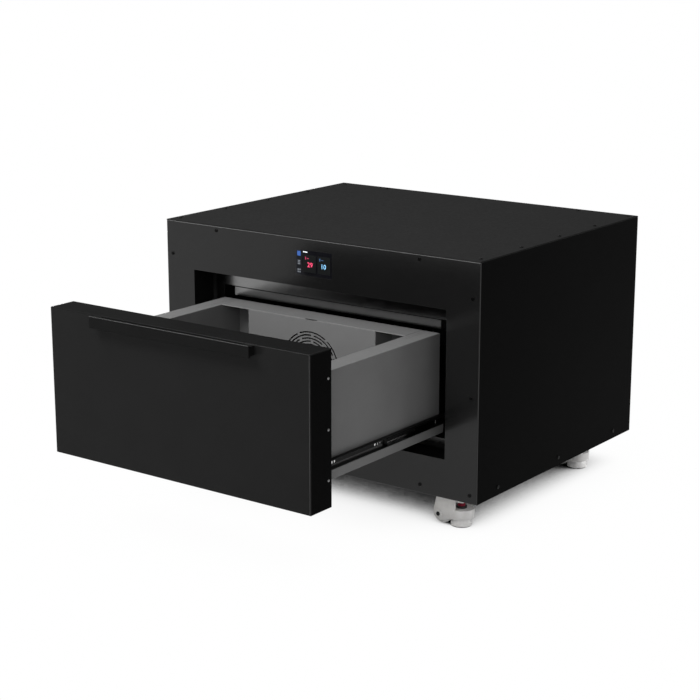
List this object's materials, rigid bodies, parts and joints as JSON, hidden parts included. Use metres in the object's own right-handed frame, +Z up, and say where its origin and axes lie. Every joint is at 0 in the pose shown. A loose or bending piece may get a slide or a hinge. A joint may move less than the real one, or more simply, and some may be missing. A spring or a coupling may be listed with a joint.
{
  "type": "filament dryer box",
  "caption": "Heated drawer cabinet on levelling casters for drying filament spools, with insulated drawer, fan grille, front display and pull handle.",
  "frame": {"origin": "on the floor under the middle of the whole outline, with the drawer open as in the picture", "axes": "+X to the right seen from the front, +Y to the back, +Z up"},
  "size_m": [0.7432, 1.004, 0.5116],
  "materials": {
    "black_paint": "satin powder coat",
    "black_handle": "satin powder coat",
    "dark_liner": "satin powder coat",
    "grey_paint": "satin powder coat",
    "slide_steel": "black zinc",
    "screw_steel": "black oxide",
    "rivet_steel": "bright",
    "gasket_rubber": "matte",
    "insulation": "fibrous board",
    "screen_glass": "gloss",
    "black_plastic": "matte",
    "circuit_board": "solder mask",
    "zinc_sheet": "galvanised",
    "heater_aluminium": "mill finish",
    "caster_casting": "ivory powder coat",
    "white_nylon": "semi gloss",
    "foot_plastic": "matte",
    "red_plastic": "semi gloss"
  },
  "bodies": {
    "cabinet": {"back_panel": "black_paint", "base_pan": "black_paint", "cabinet_screws": "screw_steel", "caster_plates": "zinc_sheet", "chamber_ceiling": "dark_liner", "chamber_face_frame": "dark_liner", "chamber_floor": "dark_liner", "chamber_gasket": "gasket_rubber", "chamber_insulation": "insulation", "chamber_rear_wall": "dark_liner", "control_board": "circuit_board", "display_glass": "screen_glass", "display_module": "black_plastic", "fan_frame": "black_plastic", "front_panel": "black_paint", "heater_duct": "zinc_sheet", "heater_element": "heater_aluminium", "humidity_sensor": "black_plastic", "left_chamber_wall": "dark_liner", "left_side_panel": "black_paint", "left_slide_cabinet_rail": "slide_steel", "opening_reveal": "black_paint", "power_inlet": "black_plastic", "power_supply": "zinc_sheet", "right_chamber_wall": "dark_liner", "right_side_panel": "black_paint", "right_slide_cabinet_rail": "slide_steel", "top_panel": "black_paint"},
    "drawer": {"drawer_front_skin": "black_paint", "drawer_back_plate": "black_paint", "drawer_rivets": "rivet_steel", "drawer_handle": "black_handle", "right_drawer_wall": "grey_paint", "left_drawer_wall": "grey_paint", "drawer_rear_wall": "grey_paint", "drawer_rear_cover": "grey_paint", "drawer_floor": "grey_paint", "drawer_insulation": "insulation", "right_slide_drawer_rail": "slide_steel", "left_slide_drawer_rail": "slide_steel"},
    "right_middle_rail": {"right_slide_middle_rail": "slide_steel"},
    "left_middle_rail": {"left_slide_middle_rail": "slide_steel"},
    "fan": {"fan_rotor": "black_plastic"},
    "rocker": {"power_rocker": "black_plastic"},
    "front_right_caster": {"front_right_caster_housing": "caster_casting"},
    "front_right_wheel": {"front_right_caster_wheel": "white_nylon"},
    "front_right_nut": {"front_right_caster_thumb_nut": "red_plastic"},
    "front_right_foot": {"front_right_caster_foot": "foot_plastic"},
    "front_left_caster": {"front_left_caster_housing": "caster_casting"},
    "front_left_wheel": {"front_left_caster_wheel": "white_nylon"},
    "front_left_nut": {"front_left_caster_thumb_nut": "red_plastic"},
    "front_left_foot": {"front_left_caster_foot": "foot_plastic"},
    "rear_right_caster": {"rear_right_caster_housing": "caster_casting"},
    "rear_right_wheel": {"rear_right_caster_wheel": "white_nylon"},
    "rear_right_nut": {"rear_right_caster_thumb_nut": "red_plastic"},
    "rear_right_foot": {"rear_right_caster_foot": "foot_plastic"},
    "rear_left_caster": {"rear_left_caster_housing": "caster_casting"},
    "rear_left_wheel": {"rear_left_caster_wheel": "white_nylon"},
    "rear_left_nut": {"rear_left_caster_thumb_nut": "red_plastic"},
    "rear_left_foot": {"rear_left_caster_foot": "foot_plastic"}
  },
  "joints": [
    {"name": "drawer_slide", "type": "slide", "parent": "cabinet", "child": "drawer", "axis": [0, -1, 0], "range_m": [-0.394, 0.006]},
    {"name": "right_middle_slide", "type": "slide", "parent": "cabinet", "child": "right_middle_rail", "axis": [0, -1, 0], "range_m": [-0.197, 0.003]},
    {"name": "left_middle_slide", "type": "slide", "parent": "cabinet", "child": "left_middle_rail", "axis": [0, -1, 0], "range_m": [-0.197, 0.003]},
    {"name": "fan_spin", "type": "hinge", "parent": "cabinet", "child": "fan", "pos_m": [0, 0.37, 0.2667], "axis": [0, 1, 0], "continuous": true},
    {"name": "rocker_tilt", "type": "hinge", "parent": "cabinet", "child": "rocker", "pos_m": [0.25, 0.4968, 0.157], "axis": [1, 0, 0], "range_deg": [0, 16]},
    {"name": "front_right_swivel", "type": "hinge", "parent": "cabinet", "child": "front_right_caster", "pos_m": [0.313, -0.05, 0.04], "axis": [0, 0, 1], "continuous": true},
    {"name": "front_right_roll", "type": "hinge", "parent": "front_right_caster", "child": "front_right_wheel", "pos_m": [0.277, -0.05, 0.021], "axis": [0, 1, 0], "continuous": true},
    {"name": "front_right_level", "type": "hinge", "parent": "front_right_caster", "child": "front_right_nut", "pos_m": [0.313, -0.05, 0.04], "axis": [0, 0, 1], "range_deg": [0, 2880]},
    {"name": "front_right_foot_travel", "type": "slide", "parent": "front_right_caster", "child": "front_right_foot", "axis": [0, 0, 1], "range_m": [-0.012, 0]},
    {"name": "front_left_swivel", "type": "hinge", "parent": "cabinet", "child": "front_left_caster", "pos_m": [-0.313, -0.05, 0.04], "axis": [0, 0, 1], "continuous": true},
    {"name": "front_left_roll", "type": "hinge", "parent": "front_left_caster", "child": "front_left_wheel", "pos_m": [-0.277, -0.05, 0.021], "axis": [0, 1, 0], "continuous": true},
    {"name": "front_left_level", "type": "hinge", "parent": "front_left_caster", "child": "front_left_nut", "pos_m": [-0.313, -0.05, 0.04], "axis": [0, 0, 1], "range_deg": [0, 2880]},
    {"name": "front_left_foot_travel", "type": "slide", "parent": "front_left_caster", "child": "front_left_foot", "axis": [0, 0, 1], "range_m": [-0.012, 0]},
    {"name": "rear_right_swivel", "type": "hinge", "parent": "cabinet", "child": "rear_right_caster", "pos_m": [0.313, 0.385, 0.04], "axis": [0, 0, 1], "continuous": true},
    {"name": "rear_right_roll", "type": "hinge", "parent": "rear_right_caster", "child": "rear_right_wheel", "pos_m": [0.277, 0.385, 0.021], "axis": [0, 1, 0], "continuous": true},
    {"name": "rear_right_level", "type": "hinge", "parent": "rear_right_caster", "child": "rear_right_nut", "pos_m": [0.313, 0.385, 0.04], "axis": [0, 0, 1], "range_deg": [0, 2880]},
    {"name": "rear_right_foot_travel", "type": "slide", "parent": "rear_right_caster", "child": "rear_right_foot", "axis": [0, 0, 1], "range_m": [-0.012, 0]},
    {"name": "rear_left_swivel", "type": "hinge", "parent": "cabinet", "child": "rear_left_caster", "pos_m": [-0.313, 0.385, 0.04], "axis": [0, 0, 1], "continuous": true},
    {"name": "rear_left_roll", "type": "hinge", "parent": "rear_left_caster", "child": "rear_left_wheel", "pos_m": [-0.277, 0.385, 0.021], "axis": [0, 1, 0], "continuous": true},
    {"name": "rear_left_level", "type": "hinge", "parent": "rear_left_caster", "child": "rear_left_nut", "pos_m": [-0.313, 0.385, 0.04], "axis": [0, 0, 1], "range_deg": [0, 2880]},
    {"name": "rear_left_foot_travel", "type": "slide", "parent": "rear_left_caster", "child": "rear_left_foot", "axis": [0, 0, 1], "range_m": [-0.012, 0]}
  ],
  "couplings": [
    {"joint": "right_middle_slide", "follows": "drawer_slide", "ratio": 0.5},
    {"joint": "left_middle_slide", "follows": "drawer_slide", "ratio": 0.5},
    {"joint": "front_right_foot_travel", "follows": "front_right_level", "m_per_rad": -0.00023873},
    {"joint": "front_left_foot_travel", "follows": "front_left_level", "m_per_rad": -0.00023873},
    {"joint": "rear_right_foot_travel", "follows": "rear_right_level", "m_per_rad": -0.00023873},
    {"joint": "rear_left_foot_travel", "follows": "rear_left_level", "m_per_rad": -0.00023873}
  ]
}
